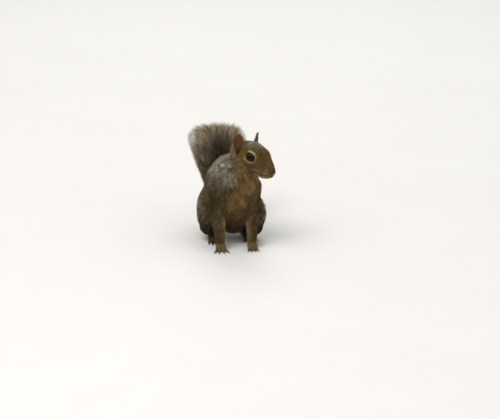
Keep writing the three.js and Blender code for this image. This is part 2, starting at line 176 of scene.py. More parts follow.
# ---- Landmarks ----
NOSE_DROP = math.radians(14.2)  # of the nose pad below straight ahead, seen from between the eyes
EYES = {side: centre(f"eye_{side}") for side in SIDES}
EYE_RADIUS = float(np.ptp(points("eye_left"), axis=0).mean() / 2)
BROW = (EYES["left"] + EYES["right"]) / 2
LEFTWARD = unit(EYES["left"] - EYES["right"])
_nose = centre("nose") - BROW
_nose = unit(_nose - LEFTWARD * (_nose @ LEFTWARD))
FORWARD = _nose * math.cos(NOSE_DROP) + np.cross(_nose, LEFTWARD) * math.sin(NOSE_DROP)
UPWARD = np.cross(FORWARD, LEFTWARD)
HEAD_AXES = np.stack([LEFTWARD, -FORWARD, UPWARD])  # rows: left, back, up
MIDLINE = float(centre("trunk")[0])


def in_head(world):
    return (world - BROW) @ HEAD_AXES.T


def from_head(local):
    return BROW + np.asarray(local) @ HEAD_AXES


NOSE_TIP = in_head(centre("nose"))[1]  # how far behind the brow, so negative


# ---- Tail: its centreline, and how far its hair reaches round it ----
TAIL = ["tail_root", "tail_middle", "tail_bend", "tail_tip"]


def facing(a, b):
    """The middle of the ring where node a faces node b."""
    pa, pb = points(a), points(b)
    gaps = norm(pa[:, None] - pb[None]).min(1)
    return pa[gaps < 2 * MM].mean(0)


def spline(stations, count):
    """Catmull-Rom through the stations, as points evenly spaced along it."""
    p = np.vstack([2 * stations[0] - stations[1], stations, 2 * stations[-1] - stations[-2]])
    t = np.linspace(0, 1, 40, endpoint=False)[:, None]
    runs = []
    for a, b, c, d in zip(p, p[1:], p[2:], p[3:]):
        runs.append(b + 0.5 * t * (c - a + t * (2 * a - 5 * b + 4 * c - d + t * (3 * (b - c) + d - a))))
    path = np.vstack([*runs, stations[-1:]])
    along = np.concatenate([[0], np.cumsum(norm(np.diff(path, axis=0)))])
    even = np.linspace(0, along[-1], count)
    return np.stack([np.interp(even, along, path[:, k]) for k in range(3)], 1)


def tail_line():
    root, tip = points("tail_root"), points("tail_tip")
    start = root[root[:, 1] < root[:, 1].min() + 9 * MM].mean(0)
    end = tip[tip[:, 2] < tip[:, 2].min() + 6 * MM].mean(0)
    stations = [start]
    for here, after in zip(TAIL, TAIL[1:] + [None]):
        stations.append(points(here).mean(0))
        if after:
            stations.append((facing(here, after) + facing(after, here)) / 2)
    return spline(np.array(stations + [end]), TAIL_POINTS)


TAIL_PATH = tail_line()
TAIL_LENGTH = float(norm(np.diff(TAIL_PATH, axis=0)).sum())
TAIL_WAY = unit(np.gradient(TAIL_PATH, axis=0))
TAIL_SIDE = unit(np.array([1.0, 0, 0]) - TAIL_WAY * TAIL_WAY[:, :1])
TAIL_UP = np.cross(TAIL_WAY, TAIL_SIDE)


def tail_reach():
    """Half the width and half the thickness of the hair at each point of the path."""
    hair = np.vstack([points(n) for n in TAIL])
    nearest = norm(hair[:, None] - TAIL_PATH[None]).argmin(1)
    off = hair - TAIL_PATH[nearest]
    stations = np.linspace(0, 1, 24)
    share = nearest / (len(TAIL_PATH) - 1)
    reach = []
    for axis in (TAIL_SIDE, TAIL_UP):
        out = np.abs((off * axis[nearest]).sum(1))
        most = [out[np.abs(share - s) < 0.05].max(initial=2 * MM) for s in stations]
        soft = np.convolve(np.pad(most, 1, mode="edge"), [0.25, 0.5, 0.25], "valid")
        reach.append(np.interp(np.linspace(0, 1, len(TAIL_PATH)), stations, soft))
    return reach


TAIL_WIDE, TAIL_THICK = tail_reach()


def tail_at(share, values):
    """The values of the centreline's points, read at shares of its length."""
    place = np.clip(share, 0, 1) * (len(TAIL_PATH) - 1)
    low = np.minimum(place.astype(int), len(TAIL_PATH) - 2)
    f = place - low
    f = f[:, None] if values.ndim > 1 else f
    return values[low] * (1 - f) + values[low + 1] * f


# ---- The skin ----
FLESH = [n for n in sorted(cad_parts) if n.startswith(tuple(k for k in KINDS if k != "tail"))]


def add_tube(bm, path, radii, sides=12):
    """A closed tube along a path."""
    way = unit(np.gradient(path, axis=0))
    side = unit(np.cross(way, [0.3, 0.2, 1.0]))
    other = np.cross(way, side)
    turn = np.linspace(0, 2 * math.pi, sides, endpoint=False)
    rings = []
    for p, r, a, b in zip(path, radii, side, other):
        rings.append([bm.verts.new(p + r * (math.cos(t) * a + math.sin(t) * b)) for t in turn])
    for one, two in zip(rings, rings[1:]):
        for i in range(sides):
            bm.faces.new((one[i], one[(i + 1) % sides], two[(i + 1) % sides], two[i]))
    bm.faces.new(rings[0][::-1])
    bm.faces.new(rings[-1])


def claw_root(node):
    co = points(node)
    return co[co[:, 1] > co[:, 1].max() - 0.6 * MM].mean(0)


CLAWS = [n for n in sorted(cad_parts) if "claw" in n]
CLAW_ROOTS = np.array([claw_root(n) for n in CLAWS])
FEET = sorted({claw.replace("_claw", "foot").rsplit("_", 1)[0] for claw in CLAWS})


def claws_of(foot):
    mine = [claw.replace("_claw", "foot").startswith(foot) for claw in CLAWS]
    return CLAW_ROOTS[mine]


def toe_distance(place):
    return norm(CLAW_ROOTS - np.array(place)).min()


def flesh_union():
    """The nodes of flesh, each swollen until it overlaps its neighbours, with the eyes and the nose
    filled in and the tail's core, in one bmesh. Also the kind of each face."""
    joined = bmesh.new()
    kinds = []

    def label(name):
        kinds.extend([KINDS.index(name)] * (len(joined.faces) - len(kinds)))

    for node in FLESH:
        piece = bmesh.new()
        piece.from_mesh(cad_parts[node].data)
        bmesh.ops.remove_doubles(piece, verts=piece.verts, dist=1e-6)
        piece.normal_update()
        for v in piece.verts:
            swell = COAT[kind(node)].swell
            if "foot" in node:
                swell -= (swell + TOE_SLIM) * bump(toe_distance(v.co), 8 * MM)
            v.co += v.normal * swell * MM
        mesh = mesh_of(piece, "flesh")
        joined.from_mesh(mesh)
        bpy.data.meshes.remove(mesh)
        label(kind(node))
    balls = [(place, 3, EYE_RADIUS + 0.1 * MM) for place in EYES.values()]
    for place, cuts, radius in [*balls, (centre("nose"), 2, 2.6 * MM)]:
        at = Matrix.Translation(Vector(place))
        bmesh.ops.create_icosphere(joined, subdivisions=cuts, radius=radius, matrix=at)
    label("head")
    core = TAIL_PATH[: int(len(TAIL_PATH) * TAIL_CORE["reach"]) : 6]
    radii = np.linspace(TAIL_CORE["start"], TAIL_CORE["end"], len(core))
    add_tube(joined, core, radii)
    label("tail")
    return joined, np.array(kinds)


def remeshed(bm):
    raw = mesh_of(bm, "raw")
    holder = add_object("raw", raw)
    voxels = holder.modifiers.new("voxels", "REMESH")
    voxels.mode = "VOXEL"
    voxels.voxel_size = VOXEL
    evaluated = holder.evaluated_get(bpy.context.evaluated_depsgraph_get())
    mesh = bpy.data.meshes.new_from_object(evaluated)
    bpy.data.objects.remove(holder)
    bpy.data.meshes.remove(raw)
    return mesh


def edges_of(mesh):
    return get(mesh.edges, "vertices", 2, np.int32)


def relaxed(values, edges, rounds):
    """Values at the vertices, each drawn towards its neighbours' mean. rounds may differ by vertex."""
    n, shape = len(values), values.shape
    values = values.reshape(n, -1)
    a, b = edges.T
    count = np.maximum(np.bincount(edges.ravel(), minlength=n), 1)[:, None]
    rounds = np.broadcast_to(rounds, n)
    for step in range(int(rounds.max())):
        total = np.stack([np.bincount(a, v[b], n) + np.bincount(b, v[a], n) for v in values.T], 1)
        values = values + (0.5 * (rounds > step))[:, None] * (total / count - values)
    return values.reshape(shape)


def moulded(co, edges, rounds):
    """The form without its ledges and facets, at its own size: what the smoothing shrank is given
    back, smoothed itself."""
    soft = relaxed(co, edges, rounds)
    return soft + relaxed(co - soft, edges, rounds)


def normals_of(mesh, co):
    """The mesh's normals, once its vertices are moved to co."""
    put(mesh.vertices, "co", co)
    mesh.update()
    return get(mesh.vertex_normals, "vector", 3).astype(float)


def by_kind(labels, key):
    return np.array([getattr(COAT[k], key) for k in KINDS], float)[labels]


def are(labels, *names):
    return np.isin(labels, [KINDS.index(k) for k in names])


def lie_of(co, labels, normal):
    """The way that the fur lies at each point: swept back from the nose over the head, down and back
    over the body, down the legs, and forward over the feet."""
    lie = by_kind(labels, "lie")
    local = in_head(co)
    swept = unit(local - np.array([0, NOSE_TIP - 8 * MM, -2 * MM])) + np.array([0, 0.5, -0.15])
    for side in SIDES:
        away = local - in_head(EYES[side])
        near = bump(norm(away), 9 * MM)[:, None]
        swept = swept + unit(away) * near * 0.7
    head = are(labels, "head", "jaw")
    lie[head] = (swept @ HEAD_AXES)[head]
    lie[are(labels, "ear")] = np.array([0, 0.15, 1.0]) @ HEAD_AXES
    rump = bump(norm(co - tail_at(np.array([0.06]), TAIL_PATH)), 26 * MM)[:, None]
    lie = unit(lie) * (1 - rump) + unit(tail_at(np.array([0.3]), TAIL_PATH) - co) * rump
    lie = unit(lie)
    return lie - normal * (lie * normal).sum(1, keepdims=True)


def eye_axes(side):
    """The eye's gaze, the way along its opening towards the nose, and the way up."""
    s = SIDES[side]
    turn = math.radians(22)
    gaze = unit(np.array([s * math.cos(turn), -math.sin(turn), 0.1]) @ HEAD_AXES)
    ahead = unit(np.array([0, -1.0, -0.18]) @ HEAD_AXES)
    ahead = unit(ahead - gaze * (ahead @ gaze))
    over = np.cross(gaze, ahead)
    return gaze, ahead, over if over @ UPWARD > 0 else -over


OPENING = (5.1 * MM, 4.55 * MM)  # half the width and height of the eye between its lids
LID = 0.75 * MM  # thick at its edge
# How far out from the middle of the opening, 1 at the lids' edge, the dark rim ends and the pale ring
# fades
RIM, RING = (1.12, 1.24), (1.42, 1.85)


def in_eye(co, side):
    """How far out each point is from the middle of the eye's opening, 1 at the lids' edge, and its
    place along and over it. Points behind the eye are far out."""
    gaze, ahead, over = eye_axes(side)
    off = co - EYES[side]
    along, high = off @ ahead, off @ over
    corner = 1 + 0.12 * np.clip(along / OPENING[0], -1, 1.4) ** 2
    rho = np.hypot(along / (OPENING[0] * corner), high / OPENING[1])
    return np.where(off @ gaze > 0.5 * MM, rho, 9.0), along, high


def with_lids(co):
    """The skin drawn in under each eyeball, and laid over its edge as lids."""
    for side in SIDES:
        rho = in_eye(co, side)[0]
        off = co - EYES[side]
        far = norm(off)[:, None]
        lid = EYE_RADIUS + LID * bump(rho - 1.16, 0.16) + 0.1 * MM
        under = EYE_RADIUS - 1.3 * MM
        target = np.where(rho < 0.97, under, lid)[:, None]
        share = 1 - ease(rho, 1.25, 1.75)
        share = (share * (far[:, 0] < 12 * MM))[:, None]
        co = co + off / far * (target - far) * share
    return co


# The mouth, in the head's frame: its height at the nose, its fall towards the back and how far back
# its corner is, and how deep its line and the groove under the nose are
MOUTH = {"height": -14.4 * MM, "fall": math.radians(6), "corner": -6.5 * MM}
MOUTH_LINE, NOSE_GROOVE = 1.0 * MM, 0.6 * MM


def mouth_height(back):
    return MOUTH["height"] - (back - NOSE_TIP) * math.tan(MOUTH["fall"])


def with_muzzle(co, normal):
    """The mouth's line and the groove under the nose pressed into the skin."""
    local = in_head(co)
    x, y, z = local.T
    outward = normal @ HEAD_AXES.T
    line = bump(z - mouth_height(y), 0.95 * MM) * (1 - ease(y, MOUTH["corner"] - 3 * MM, MOUTH["corner"]))
    line = line * ease(np.hypot(outward[:, 0], outward[:, 1]), 0.3, 0.6)
    groove = bump(x, 0.55 * MM) * (y < NOSE_TIP + 5 * MM) * (z < -9 * MM) * (z > mouth_height(y) - 1 * MM)
    depth = MOUTH_LINE * line + NOSE_GROOVE * groove
    return co - normal * depth[:, None], np.clip(line + 0.8 * groove, 0, 1)


KNUCKLES = 17 * MM  # how far behind its claws each foot's toes would meet
TOE_GROOVE = 1.2 * MM


def with_toes(co, normal, labels):
    """The grooves between the toes pressed into the skin of the feet."""
    groove = np.zeros(len(co))
    for foot in FEET:
        roots = claws_of(foot)
        meet = roots.mean(0) + [0, KNUCKLES, 0]
        slopes = np.sort((roots[:, 0] - meet[0]) / (meet[1] - roots[:, 1]))
        ahead = meet[1] - co[:, 1]
        slope = (co[:, 0] - meet[0]) / np.maximum(ahead, 1 * MM)
        beside = np.abs(co[:, 0] - meet[0]) < 14 * MM
        mine = are(labels, kind(foot)) & beside
        for a, b in zip(slopes, slopes[1:]):
            here = bump((slope - (a + b) / 2) / (b - a), 0.17) * ease(ahead, 6 * MM, 10 * MM)
            groove = np.maximum(groove, here * mine)
    return co - normal * (TOE_GROOVE * groove)[:, None], groove


EARS = {side: in_head(centre(f"ear_{side}")) for side in SIDES}
EAR_OPENS = math.radians(50)  # outward from straight ahead
EAR_WALL = 1.0 * MM  # thick at the least, from the cup to the ear's back
# The cup of the ear by its height, from 0 at its foot to 1 at its tip. In millimetres: half its
# breadth, and how far its back wall and its rims are ahead of the ear's stem.
CUP = {
    "height": [-0.02, 0.06, 0.2, 0.5, 0.75, 0.9, 0.98],
    "half": [0.5, 3.4, 5.0, 6.7, 5.9, 4.0, 1.2],
    "back": [-0.2, -0.5, -0.9, -1.5, -1.2, -0.9, -0.7],
    "rim": [4.4, 4.0, 3.2, 1.6, 1.0, 0.5, 0.3],
}


def in_cup(local, side):
    """Each point's height up the ear, its place across the cup, from -1 to 1, and how far it is in
    front of the cup's wall. Also the way that the cup opens."""
    s = SIDES[side]
    off = local - EARS[side]
    high = off[:, 2] / np.ptp(points(f"ear_{side}") @ HEAD_AXES[2]) + 0.5
    stem = np.stack([s * (3.2 * high - 2.8), 2.4 * high - 0.9, 0 * high], 1) * MM
    open_way = np.array([s * math.sin(EAR_OPENS), -math.cos(EAR_OPENS), 0])
    across = (off - stem) @ [s * math.cos(EAR_OPENS), math.sin(EAR_OPENS), 0]
    half, back, rim = (np.interp(high, CUP["height"], CUP[key]) * MM for key in ("half", "back", "rim"))
    across = across / half
    return high, across, (off - stem) @ open_way - back - (rim - back) * across**2, open_way


def with_ears(co, normal):
    """The cup of each ear pressed into the skin. Also which points line the cup, and which ones are in its
    hollow, which is painted dark later as its shadow."""
    local = in_head(co)
    outward = normal @ HEAD_AXES.T
    lining, shadowed_hollow = np.zeros((2, len(co)))
    for side in SIDES:
        high, across, front, open_way = in_cup(local, side)
        inside = (np.abs(across) < 1) & (high > -0.02) & (high < 0.98) & (front < 9 * MM)
        faces = outward @ open_way
        wall = EAR_WALL * ease(-faces, 0, 0.5) * ease(high, 0.22, 0.36)
        push = np.where(inside, np.maximum(front + wall, 0), 0)
        local = local - open_way * push[:, None]
        lined = (front > -0.4 * MM) & (faces > -0.35) | (front > -4 * MM) & (faces > 0) & (high > 0.25)
        lined = inside & lined
        lining = np.maximum(lining, lined * (1 - ease(np.abs(across), 0.84, 1.0)))
        deep = ease(push - wall, 0.8 * MM, 2.6 * MM) * (1 - ease(high, 0.3, 0.55)) * ease(across, -1.0, -0.3)
        shadowed_hollow = np.maximum(shadowed_hollow, deep)
    return from_head(local), lining, shadowed_hollow


def finer(mesh, near):
    """The mesh with the faces near the given places cut in four."""
    bm = bmesh.new()
    bm.from_mesh(mesh)
    bm.faces.ensure_lookup_table()
    chosen = set()
    for place, reach in near:
        for v in bm.verts:
            if (v.co - place).length < reach:
                chosen.update(v.link_edges)
    bmesh.ops.subdivide_edges(bm, edges=list(chosen), cuts=1, use_grid_fill=True)
    bmesh.ops.triangulate(bm, faces=[f for f in bm.faces if len(f.verts) > 4])
    return mesh_of(bm, "skin")


def make_skin():
    """The skin's mesh, its points, normals and edges, the kind of node at each point, and the weights
    of its hollows."""
    joined, face_kinds = flesh_union()
    tree = BVHTree.FromBMesh(joined)

    def labels_at(co):
        return face_kinds[[tree.find_nearest(p)[2] for p in co]]

    rough = remeshed(joined)
    co = places(rough)
    labels = labels_at(co)
    edges = edges_of(rough)
    rounds = by_kind(labels, "rounds")
    nape = ease(in_head(co)[:, 1], 14 * MM, 38 * MM)
    rounds = np.where(are(labels, "head"), rounds + 200 * nape, rounds)
    rounds = relaxed(rounds, edges, 30)
    co = moulded(co, edges, rounds)
    depth = tuft_size(co, labels)[:, 2:3]
    depth = relaxed(depth, edges, 90)
    normal = relaxed(normals_of(rough, co), edges, 6)
    co = relaxed(co - unit(normal) * depth, edges, np.minimum(rounds, 6))
    co[:, 2] = np.maximum(co[:, 2], 0)
    normals_of(rough, co)

    near = [(Vector(EYES[side]), 11 * MM) for side in SIDES]
    near += [(Vector(centre("nose")), 12 * MM)]
    near += [(Vector(from_head(EARS[side] + [0, -2 * MM, -6 * MM])), 9 * MM) for side in SIDES]
    near += [(Vector(claws_of(foot).mean(0) + [0, 3 * MM, 2 * MM]), 11 * MM) for foot in FEET]
    mesh = finer(rough, near)
    bpy.data.meshes.remove(rough)
    co = places(mesh)
    edges = edges_of(mesh)
    labels = labels_at(co)
    co = relaxed(co, edges, np.where(by_kind(labels, "rounds") < 10, 0, 2))
    co = with_lids(co)
    co, lining, shadowed_hollow = with_ears(co, normals_of(mesh, co))
    lining = ease(relaxed(lining, edges, 6), 0.15, 0.5)
    near_ear = relaxed(np.maximum(lining, shadowed_hollow), edges, 4) > 0.02
    co = relaxed(co, edges, np.where(near_ear, 4, 0))
    co, mouth = with_muzzle(co, normals_of(mesh, co))
    co, groove = with_toes(co, normals_of(mesh, co), labels)
    normal = normals_of(mesh, co)
    # The mouth's line, the groove under the nose, the ear's hollow and the grooves between the toes are later
    # painted dark as their shade
    hollows = {"mouth": mouth, "lining": lining, "ear": shadowed_hollow, "toes": groove}
    return mesh, co, normal, edges, labels, hollows


def tuft_size(co, labels):
    """Length, width, depth and density of the tufts at each point. The fur is shortest on the muzzle
    and the toes, and grows towards the nape and up each leg."""
    size = by_kind(labels, "size")
    back = ease(in_head(co)[:, 1], NOSE_TIP, 37 * MM)[:, None]
    size = np.where(are(labels, "head")[:, None], MUZZLE + (np.array(NAPE) - MUZZLE) * back, size)
    for leg, top in LEG_TOPS.items():
        rise = ease(co[:, 2], 5 * MM, top)[:, None]
        size = np.where(are(labels, *leg)[:, None], TOES + (size - TOES) * rise, size)
    return size * [MM, MM, MM, 1 / MM**2]


# ---- Markings and painted light and shade: weights at the skin's vertices, which its tufts take from their roots ----
MARKS = ["silver_and_highlight", "ochre", "buff", "pale", "dark_and_painted_shade", "bare"]
OCHRE_OF = dict(head=0.6, jaw=0.75, ear=0.55, neck=0.3, trunk=0.25, tail=0.3)

# The buff of the chest: its middle line and half its width, by height, in millimetres
CHEST = {"height": [30, 50, 73, 92], "middle": [-2.5, -1, 4, 11], "reach": [15, 16, 16.5, 12.5]}


def markings_and_painted_light(co, normal, labels, edges, hollows):
    def on(*kinds):
        return are(labels, *kinds).astype(float)

    local = in_head(co)
    across, length, height = (co / MM).T  # in millimetres, as are the next two
    back, up = local[:, 1] / MM, local[:, 2] / MM
    behind_nose = back - NOSE_TIP / MM
    inward = -np.sign(co[:, 0] - MIDLINE) * normal[:, 0]
    front = -normal[:, 1] - 0.3 * np.abs(normal[:, 0])
    downward = -normal[:, 2]
    head, jaw, foreleg, hind_leg = on("head"), on("jaw"), on(*FORELEG), on(*HIND_LEG)
    low, paw = 1 - ease(height, 6, 52), 1 - ease(height, 3, 16)
    flank = ease(np.abs(normal[:, 0]), 0.2, 0.7) * (1 - ease(height, 78, 96)) * on("trunk", "upper_arm")
    crown = np.clip(ease(up, 4, 13) * ease(back, -16, 2) + ease(back, 18, 36), 0, 1)

    # Silver on the shoulders and the back, the crown and the haunches. On the back and shoulders it is laid
    # on the faces that turn up: partly the coat's own silver, partly a painted highlight where the light from
    # above falls
    high = ease(-downward, -0.5, 0.4) * ease(height, 72, 100)
    silver_and_highlight = on(*BODY, "upper_arm") * high + 0.45 * head * crown + 0.32 * on("thigh") * (1 - low)

    # Ochre on the face, the flanks and the lower legs
    ochre = sum(on(k) * w for k, w in OCHRE_OF.items()) + 0.5 * flank + head * (0.35 - 0.75 * crown)
    ochre = ochre + foreleg * (0.42 + 0.48 * low) + hind_leg * (0.16 + 0.5 * low)
    ochre = ochre * (1 - 0.8 * np.clip(silver_and_highlight, 0, 1))

    # Buff on the chest, the belly, the insides of the legs, the chin and the front of the muzzle
    middle, reach = (np.interp(height, CHEST["height"], CHEST[key]) for key in ("middle", "reach"))
    strip = (1 - ease(np.abs(across - middle), reach - 3, reach + 3)) * (1 - ease(length, 20, 40))
    buff = on(*BODY) * strip * np.maximum(ease(front, -0.1, 0.3), ease(downward, 0.2, 0.7))
    buff = buff + (0.8 * on("upper_arm", "thigh") + 0.7 * on("forearm")) * ease(inward, 0.35, 0.85)
    buff = buff + 0.35 * jaw * ease(downward, 0.2, 0.8) + 0.5 * head * (1 - ease(behind_nose, 6, 17))

    # Pale toes and insides of the forelegs, and painted shade low on the body, on the flanks and over the
    # legs
    toes = (foreleg + 0.7 * hind_leg) * 0.3 * paw
    toes = toes + 0.6 * foreleg * bump(height - 28, 18) * ease(inward, 0.1, 0.7)
    painted_shade = 0.74 * on("trunk") * (1 - ease(height, 32, 72)) + 0.16 * flank
    painted_shade = painted_shade + 0.9 * hind_leg * (1 - ease(height, 10, 46)) * (1 - 0.45 * paw)
    painted_shade = painted_shade + foreleg * (0.3 - 0.12 * paw)
    wide = relaxed(np.stack([silver_and_highlight, ochre, buff, toes, painted_shade], 1), edges, 45)

    # Painted shade in the hollows (the mouth's line, the groove under the nose, the ear's cup, between the
    # toes), on the bridge of the nose and at the corners of the mouth; dark rims and tear ducts of the eyes.
    # A pale chin, a ring round each eye and a tuft at the foot of each ear.
    painted_bridge_shade = ease(normal @ UPWARD, 0.25, 0.8) * (1 - ease(behind_nose, 14, 34))
    painted_mouth_corner_shade = bump(behind_nose - 14, 6) * bump(local[:, 2] - mouth_height(local[:, 1]), 2.4 * MM)
    by_nose = bump(norm(co - centre("nose")), 4 * MM)
    dark_and_painted_shade = [hollows["mouth"], 0.85 * hollows["ear"], 0.6 * hollows["toes"]]
    dark_and_painted_shade += [0.2 * painted_bridge_shade * head, 0.5 * painted_mouth_corner_shade, 0.5 * by_nose]
    pale = [0.45 * jaw * ease(-back, -2, 18)]
    for side in SIDES:
        rho, along, over = in_eye(co, side)
        rim = ease(rho, *RIM)
        ahead = ease(along, 1 * MM, 6 * MM) * (1 - 0.5 * ease(over, 0, 4 * MM))
        tear = bump(along - 7.4 * MM, 2.4 * MM) * bump(over + 2.2 * MM, 1.2 * MM) * (rho < 3)
        foot = EARS[side] + [0, 0, -13 * MM]
        dark_and_painted_shade += [1 - rim, 0.7 * tear]
        pale += [rim * (1 - ease(rho, *RING)) * (1 - 0.55 * ahead), 0.35 * bump(norm(local - foot), 4.4 * MM)]
    soles = on("forefoot", "hindfoot") * ease(downward, 0.4, 0.8)
    bare = np.maximum(hollows["lining"], soles)
    fine = relaxed(np.stack([np.max(pale, 0), np.max(dark_and_painted_shade, 0), bare], 1), edges, 2)
    # The pale toes join the pale marks, and the painted shade joins the dark marks
    fine[:, :2] = np.maximum(fine[:, :2], wide[:, 3:])
    return np.clip(np.hstack([wide[:, :3], fine]), 0, 1)


# ---- Tufts ----
def build_mesh(name, vertices, triangles, uv, weights):
    mesh = bpy.data.meshes.new(name)
    mesh.vertices.add(len(vertices))
    put(mesh.vertices, "co", vertices)
    mesh.loops.add(triangles.size)
    put(mesh.loops, "vertex_index", triangles, np.int32)
    mesh.polygons.add(len(triangles))
    put(mesh.polygons, "loop_start", np.arange(0, triangles.size, 3), np.int32)
    mesh.update(calc_edges=True)
    put(mesh.uv_layers.new(name="OFBake").data, "uv", uv[triangles.ravel()])
    for key, values in weights.items():
        set_weight(mesh, key, values)
    return mesh


def tufts(name, line, width, flat, facing_way, roots, weights):
    """Closed three-sided tufts, one for each row of line, whose points run from the root to the tip.
    width is half a tuft's width at each point but the last, flat its thickness as a share of that,
    and roots its place in the unwrap."""
    count, stations = line.shape[:2]
    rings = stations - 1
    way = unit(np.diff(line, axis=1))
    across = unit(np.cross(way, facing_way[:, None]))
    off = np.cross(across, way)
    turn = np.array([0.5, 7 / 6, 11 / 6]) * math.pi
    ring = across[:, :, None] * np.cos(turn)[:, None] + off[:, :, None] * np.sin(turn)[:, None] * flat
    vertices = line[:, :-1, None] + ring * width[:, :, None, None]
    vertices = np.concatenate([vertices.reshape(count, rings * 3, 3), line[:, -1:]], 1)
    per = rings * 3 + 1
    faces = [(0, 2, 1)]
    for r in range(rings - 1):
        for k in range(3):
            a, b = r * 3 + k, r * 3 + (k + 1) % 3
            faces += [(a, b, b + 3), (a, b + 3, a + 3)]
    last = (rings - 1) * 3
    faces += [(last + k, last + (k + 1) % 3, per - 1) for k in range(3)]
    triangles = (np.arange(count)[:, None, None] * per + np.array(faces)).reshape(-1, 3)
    grow = np.concatenate([np.repeat(np.linspace(0, 1, stations)[:-1], 3), [1.0]])
    spot = np.stack([np.append(np.tile([0, 0.5, 1], rings), 0.5), grow], 1) * PATCH
    uv = (roots[:, None] + spot).reshape(-1, 2)
    values = {key: np.repeat(v, per) for key, v in weights.items()}
    values["grow"] = np.tile(grow, count)
    return build_mesh(name, vertices.reshape(-1, 3), triangles, uv, values)


def unwrapped(co, nodes_of):
    """Each root's place on an unwrap of the skin: the nodes side by side, each one rolled out round
    its longest axis."""
    names = sorted(set(nodes_of))
    grid = math.ceil(math.sqrt(len(names)))
    uv = np.zeros((len(co), 2))
    for i, name in enumerate(names):
        here = nodes_of == name
        low, high = co[here].min(0), co[here].max(0)
        long = int(np.argmax(high - low))
        a, b = [k for k in range(3) if k != long]
        off = co[here] - (low + high) / 2
        turn = np.arctan2(off[:, b], off[:, a]) / (2 * math.pi) + 0.5
        along = off[:, long] / (high - low)[long] + 0.5
        cell = np.array([i % grid, i // grid]) / grid
        room = 1 / grid - 2.5 * PATCH
        uv[here] = cell + PATCH + np.stack([turn, along], 1) * room
    return uv


def scatter(triangles, co, values, density):
    """Roots spread over the triangles by density, with the vertices' values read there."""
    a, b, c = (co[triangles[:, k]] for k in range(3))
    area = norm(np.cross(b - a, c - a)) / 2
    wanted = np.cumsum(area * density[triangles].mean(1))
    count = int(wanted[-1])
    pick = np.searchsorted(wanted, (np.arange(count) + rng.random(count)) * wanted[-1] / count)
    pick = np.minimum(pick, len(triangles) - 1)
    u, v = rng.random((2, count))
    over = u + v > 1
    u[over], v[over] = 1 - u[over], 1 - v[over]
    weights = np.stack([1 - u - v, u, v], 1)
    return pick, [(data[triangles[pick]] * weights[:, :, None]).sum(1) for data in values]


def leader_of(spots, followers):
    """For each spot, the index of the nearest leader. One spot in so many followers is a leader."""
    chosen = rng.choice(len(spots), len(spots) // followers, replace=False)
    tree = KDTree(len(chosen))
    for i in chosen:
        tree.insert(spots[i], int(i))
    tree.balance()
    return np.array([tree.find(p)[1] for p in spots])


# ---- Materials ----
def rgb(red, green, blue, gain=1.0):
    """An sRGB colour, 0 to 255, as linear light."""
    c = np.array([red, green, blue]) / 255
    linear = np.where(c <= 0.04045, c / 12.92, ((c + 0.055) / 1.055) ** 2.4) * gain
    return (*linear, 1.0)


class Graph:
    """A material's node tree, with short calls for the nodes used here."""

    def __init__(self, name):
        self.material = bpy.data.materials.new(name)
        self.material.use_nodes = True
        self.tree = self.material.node_tree
        self.shader = self.tree.nodes["Principled BSDF"]

    def node(self, kind, inputs=(), **settings):
        made = self.tree.nodes.new(kind)
        for key, value in settings.items():
            setattr(made, key, value)
        for key, value in dict(inputs).items():
            if isinstance(value, bpy.types.NodeSocket):
                self.tree.links.new(value, made.inputs[key])
            else:
                made.inputs[key].default_value = value
        return made

    def weight(self, name):
        return self.node("ShaderNodeAttribute", attribute_name=name).outputs["Fac"]

    def ramp(self, at, colours):
        made = self.node("ShaderNodeValToRGB", {"Fac": at})
        elements = made.color_ramp.elements
        while len(elements) < len(colours):
            elements.new(0.5)
        for element, stop in zip(elements, colours):
            element.position, element.color = stop
        return made.outputs["Color"]

    def mix(self, share, a, b, blend="MIX"):
        sockets = {0: share, 6: a, 7: b}
        return self.node("ShaderNodeMix", sockets, data_type="RGBA", blend_type=blend).outputs[2]

    def place(self):
        return self.node("ShaderNodeTexCoord").outputs["Object"]

    def math(self, operation, a, b=0.0, c=0.0):
        return self.node("ShaderNodeMath", {0: a, 1: b, 2: c}, operation=operation).outputs[0]

    def noise(self, scale, detail=2.0):
        sockets = {"Vector": self.place(), "Scale": scale, "Detail": detail}
        return self.node("ShaderNodeTexNoise", sockets).outputs["Fac"]

    def toned(self, colour, seed, gain, base):
        """The colour, lighter or darker by the seed."""
        tone = self.math("MULTIPLY_ADD", seed, gain, base)
        value = self.node("ShaderNodeCombineColor", {0: tone, 1: tone, 2: tone}).outputs[0]
        return self.mix(1.0, colour, value, "MULTIPLY")

    def finish(self, colour, roughness, specular, relief=None, strength=0.0, distance=0.0):
        self.tree.links.new(colour, self.shader.inputs["Base Color"])
        self.shader.inputs["Roughness"].default_value = roughness
        self.shader.inputs["Specular IOR Level"].default_value = specular
        if relief is not None:
            made = self.node("ShaderNodeBump", {"Height": relief, "Strength": strength, "Distance": distance})
            self.tree.links.new(made.outputs["Normal"], self.shader.inputs["Normal"])
        return self.material


def stops(*rows):
    """The stops of a ramp, each given as its place and its red, green and blue."""
    return [(place, rgb(*colour)) for place, *colour in rows]


# Colours of a hair from its root to its tip
HAIR = {
    "grey": stops(
        (0, 64, 56, 40), (0.35, 124, 109, 68), (0.6, 78, 70, 48), (0.84, 154, 146, 114), (1, 184, 178, 150)
    ),
    "silver_and_highlight": stops(
        (0, 90, 84, 70), (0.4, 144, 136, 113), (0.62, 108, 102, 87), (0.84, 194, 188, 170), (1, 220, 216, 202)
    ),
    "ochre": stops((0, 58, 46, 24), (0.4, 112, 90, 42), (0.7, 82, 67, 32), (1, 140, 118, 64)),
    "buff": stops((0, 86, 64, 36), (0.5, 134, 103, 61), (1, 163, 131, 86)),
    "pale": stops((0, 158, 130, 84), (1, 230, 202, 150)),
}
